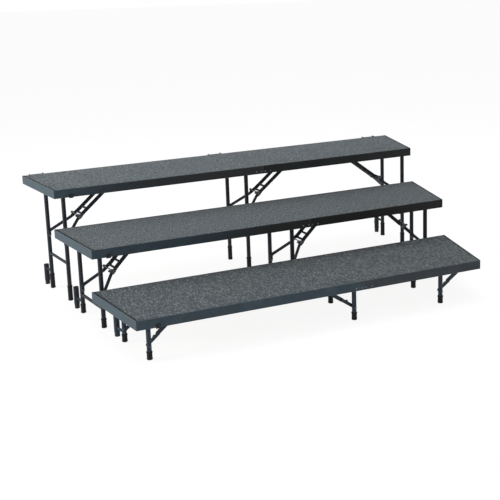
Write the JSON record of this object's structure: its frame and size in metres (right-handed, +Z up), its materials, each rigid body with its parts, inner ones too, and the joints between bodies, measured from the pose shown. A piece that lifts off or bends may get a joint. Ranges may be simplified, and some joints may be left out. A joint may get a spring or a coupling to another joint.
{
  "type": "choir riser",
  "caption": "Tiered standing riser: carpeted treads on steel rail frames, each carried by folding tubular leg frames with knee braces.",
  "frame": {"origin": "on the floor at the middle of the footprint", "axes": "+X along the treads to the right as seen from the front, +Y from the lowest tread to the highest, +Z up"},
  "size_m": [2.2988, 1.4046, 0.6106],
  "materials": {
    "rail_paint": "satin powder coat, dark slate",
    "leg_paint": "satin powder coat, black",
    "brace_paint": "satin powder coat, black",
    "bracket_paint": "satin powder coat, black",
    "foot_plastic": "matte moulded",
    "carpet": "short loop pile, mottled grey",
    "board": "plain plywood",
    "edging": "matte strip",
    "rivet_steel": "dull zinc"
  },
  "bodies": {
    "treads": {"rail_left_1": "rail_paint", "rail_right_1": "rail_paint", "deck_board_1": "board", "carpet_1": "carpet", "hinge_brackets_1": "bracket_paint", "rail_left_2": "rail_paint", "rail_right_2": "rail_paint", "deck_board_2": "board", "carpet_2": "carpet", "hinge_brackets_2": "bracket_paint", "rail_left_3": "rail_paint", "rail_right_3": "rail_paint", "deck_board_3": "board", "carpet_3": "carpet", "hinge_brackets_3": "bracket_paint", "splice_plates": "bracket_paint", "splice_rivets": "rivet_steel", "edging_strips": "edging", "brace_brackets": "bracket_paint", "rear_clips": "bracket_paint", "catch_plates": "bracket_paint"},
    "legs_1_left": {"leg_frame_1_left": "leg_paint", "feet_1_left": "foot_plastic"},
    "arms_1_left": {"brace_arms_1_left": "brace_paint"},
    "bars_1_left": {"brace_bars_1_left": "brace_paint"},
    "legs_1_middle": {"leg_frame_1_middle": "leg_paint", "feet_1_middle": "foot_plastic"},
    "arms_1_middle": {"brace_arms_1_middle": "brace_paint"},
    "bars_1_middle": {"brace_bars_1_middle": "brace_paint"},
    "legs_1_right": {"leg_frame_1_right": "leg_paint", "feet_1_right": "foot_plastic"},
    "arms_1_right": {"brace_arms_1_right": "brace_paint"},
    "bars_1_right": {"brace_bars_1_right": "brace_paint"},
    "legs_2_left": {"leg_frame_2_left": "leg_paint", "feet_2_left": "foot_plastic"},
    "arms_2_left": {"brace_arms_2_left": "brace_paint"},
    "bars_2_left": {"brace_bars_2_left": "brace_paint"},
    "legs_2_middle": {"leg_frame_2_middle": "leg_paint", "feet_2_middle": "foot_plastic"},
    "arms_2_middle": {"brace_arms_2_middle": "brace_paint"},
    "bars_2_middle": {"brace_bars_2_middle": "brace_paint"},
    "legs_2_right": {"leg_frame_2_right": "leg_paint", "feet_2_right": "foot_plastic"},
    "arms_2_right": {"brace_arms_2_right": "brace_paint"},
    "bars_2_right": {"brace_bars_2_right": "brace_paint"},
    "legs_3_left": {"leg_frame_3_left": "leg_paint", "feet_3_left": "foot_plastic"},
    "arms_3_left": {"brace_arms_3_left": "brace_paint"},
    "bars_3_left": {"brace_bars_3_left": "brace_paint"},
    "legs_3_middle": {"leg_frame_3_middle": "leg_paint", "feet_3_middle": "foot_plastic"},
    "arms_3_middle": {"brace_arms_3_middle": "brace_paint"},
    "bars_3_middle": {"brace_bars_3_middle": "brace_paint"},
    "legs_3_right": {"leg_frame_3_right": "leg_paint", "feet_3_right": "foot_plastic"},
    "arms_3_right": {"brace_arms_3_right": "brace_paint"},
    "bars_3_right": {"brace_bars_3_right": "brace_paint"}
  },
  "joints": [
    {"name": "fold_1_left", "type": "hinge", "parent": "treads", "child": "legs_1_left", "pos_m": [-0.85249, -0.52143, 0.1672], "axis": [0.204, -0.979, 0], "range_deg": [0, 90]},
    {"name": "bars_turn_1_left", "type": "hinge", "parent": "treads", "child": "bars_1_left", "pos_m": [-0.70565, -0.49083, 0.1672], "axis": [0.204, -0.979, 0], "range_deg": [-34.63, 0]},
    {"name": "arms_turn_1_left", "type": "hinge", "parent": "legs_1_left", "child": "arms_1_left", "pos_m": [-0.85249, -0.52143, 0.064], "axis": [0.204, -0.979, 0], "range_deg": [0, 55.57]},
    {"name": "fold_1_middle", "type": "hinge", "parent": "treads", "child": "legs_1_middle", "pos_m": [0.193, -0.5188, 0.1672], "axis": [0, 1, 0], "range_deg": [0, 90]},
    {"name": "bars_turn_1_middle", "type": "hinge", "parent": "treads", "child": "bars_1_middle", "pos_m": [0.043, -0.5188, 0.1672], "axis": [0, 1, 0], "range_deg": [-34.63, 0]},
    {"name": "arms_turn_1_middle", "type": "hinge", "parent": "legs_1_middle", "child": "arms_1_middle", "pos_m": [0.193, -0.5188, 0.064], "axis": [0, 1, 0], "range_deg": [0, 55.57]},
    {"name": "fold_1_right", "type": "hinge", "parent": "treads", "child": "legs_1_right", "pos_m": [0.681, -0.5188, 0.1672], "axis": [0, -1, 0], "range_deg": [0, 90]},
    {"name": "bars_turn_1_right", "type": "hinge", "parent": "treads", "child": "bars_1_right", "pos_m": [0.831, -0.5188, 0.1672], "axis": [0, -1, 0], "range_deg": [-34.63, 0]},
    {"name": "arms_turn_1_right", "type": "hinge", "parent": "legs_1_right", "child": "arms_1_right", "pos_m": [0.681, -0.5188, 0.064], "axis": [0, -1, 0], "range_deg": [0, 55.57]},
    {"name": "fold_2_left", "type": "hinge", "parent": "treads", "child": "legs_2_left", "pos_m": [-0.95249, -0.06423, 0.3704], "axis": [0.204, -0.979, 0], "range_deg": [0, 87]},
    {"name": "bars_turn_2_left", "type": "hinge", "parent": "treads", "child": "bars_2_left", "pos_m": [-0.71166, -0.01405, 0.3704], "axis": [0.204, -0.979, 0], "range_deg": [-41.85, 0]},
    {"name": "arms_turn_2_left", "type": "hinge", "parent": "legs_2_left", "child": "arms_2_left", "pos_m": [-0.95249, -0.06423, 0.122], "axis": [0.204, -0.979, 0], "range_deg": [0, 41.34]},
    {"name": "fold_2_middle", "type": "hinge", "parent": "treads", "child": "legs_2_middle", "pos_m": [0.06911, -0.06208, 0.3704], "axis": [0.0872, -0.9962, 0], "range_deg": [0, 90]},
    {"name": "bars_turn_2_middle", "type": "hinge", "parent": "treads", "child": "bars_2_middle", "pos_m": [0.31417, -0.04063, 0.3704], "axis": [0.0872, -0.9962, 0], "range_deg": [-42.47, 0]},
    {"name": "arms_turn_2_middle", "type": "hinge", "parent": "legs_2_middle", "child": "arms_2_middle", "pos_m": [0.06911, -0.06208, 0.122], "axis": [0.0872, -0.9962, 0], "range_deg": [0, 41.95]},
    {"name": "fold_2_right", "type": "hinge", "parent": "treads", "child": "legs_2_right", "pos_m": [0.91935, -0.06586, 0.3704], "axis": [0.2588, 0.9659, 0], "range_deg": [0, 90]},
    {"name": "bars_turn_2_right", "type": "hinge", "parent": "treads", "child": "bars_2_right", "pos_m": [0.68173, -0.00219, 0.3704], "axis": [0.2588, 0.9659, 0], "range_deg": [-42.47, 0]},
    {"name": "arms_turn_2_right", "type": "hinge", "parent": "legs_2_right", "child": "arms_2_right", "pos_m": [0.91935, -0.06586, 0.122], "axis": [0.2588, 0.9659, 0], "range_deg": [0, 41.95]},
    {"name": "fold_3_left", "type": "hinge", "parent": "treads", "child": "legs_3_left", "pos_m": [-1.02849, 0.39297, 0.5736], "axis": [0.204, -0.979, 0], "range_deg": [0, 86.5]},
    {"name": "bars_turn_3_left", "type": "hinge", "parent": "treads", "child": "bars_3_left", "pos_m": [-0.71326, 0.45865, 0.5736], "axis": [0.204, -0.979, 0], "range_deg": [-37.01, 0]},
    {"name": "arms_turn_3_left", "type": "hinge", "parent": "legs_3_left", "child": "arms_3_left", "pos_m": [-1.02849, 0.39297, 0.303], "axis": [0.204, -0.979, 0], "range_deg": [0, 46.08]},
    {"name": "fold_3_middle", "type": "hinge", "parent": "treads", "child": "legs_3_middle", "pos_m": [0.00311, 0.39512, 0.5736], "axis": [0.0872, -0.9962, 0], "range_deg": [0, 90]},
    {"name": "bars_turn_3_middle", "type": "hinge", "parent": "treads", "child": "bars_3_middle", "pos_m": [0.32388, 0.42319, 0.5736], "axis": [0.0872, -0.9962, 0], "range_deg": [-37.66, 0]},
    {"name": "arms_turn_3_middle", "type": "hinge", "parent": "legs_3_middle", "child": "arms_3_middle", "pos_m": [0.00311, 0.39512, 0.303], "axis": [0.0872, -0.9962, 0], "range_deg": [0, 46.88]},
    {"name": "fold_3_right", "type": "hinge", "parent": "treads", "child": "legs_3_right", "pos_m": [1.02536, 0.39552, 0.5736], "axis": [0.0349, 0.9994, 0], "range_deg": [0, 84]},
    {"name": "bars_turn_3_right", "type": "hinge", "parent": "treads", "child": "bars_3_right", "pos_m": [0.70356, 0.40676, 0.5736], "axis": [0.0349, 0.9994, 0], "range_deg": [-36.55, 0]},
    {"name": "arms_turn_3_right", "type": "hinge", "parent": "legs_3_right", "child": "arms_3_right", "pos_m": [1.02536, 0.39552, 0.303], "axis": [0.0349, 0.9994, 0], "range_deg": [0, 45.51]}
  ],
  "couplings": [
    {"joint": "bars_turn_1_left", "follows": "fold_1_left", "ratio": -0.38364},
    {"joint": "arms_turn_1_left", "follows": "fold_1_left", "ratio": 0.61636},
    {"joint": "bars_turn_1_middle", "follows": "fold_1_middle", "ratio": -0.38364},
    {"joint": "arms_turn_1_middle", "follows": "fold_1_middle", "ratio": 0.61636},
    {"joint": "bars_turn_1_right", "follows": "fold_1_right", "ratio": -0.38364},
    {"joint": "arms_turn_1_right", "follows": "fold_1_right", "ratio": 0.61636},
    {"joint": "bars_turn_2_left", "follows": "fold_2_left", "ratio": -0.47987},
    {"joint": "arms_turn_2_left", "follows": "fold_2_left", "ratio": 0.47401},
    {"joint": "bars_turn_2_middle", "follows": "fold_2_middle", "ratio": -0.47079},
    {"joint": "arms_turn_2_middle", "follows": "fold_2_middle", "ratio": 0.46505},
    {"joint": "bars_turn_2_right", "follows": "fold_2_right", "ratio": -0.47079},
    {"joint": "arms_turn_2_right", "follows": "fold_2_right", "ratio": 0.46505},
    {"joint": "bars_turn_3_left", "follows": "fold_3_left", "ratio": -0.42672},
    {"joint": "arms_turn_3_left", "follows": "fold_3_left", "ratio": 0.5316},
    {"joint": "bars_turn_3_middle", "follows": "fold_3_middle", "ratio": -0.41731},
    {"joint": "arms_turn_3_middle", "follows": "fold_3_middle", "ratio": 0.51979},
    {"joint": "bars_turn_3_right", "follows": "fold_3_right", "ratio": -0.43391},
    {"joint": "arms_turn_3_right", "follows": "fold_3_right", "ratio": 0.54062}
  ]
}
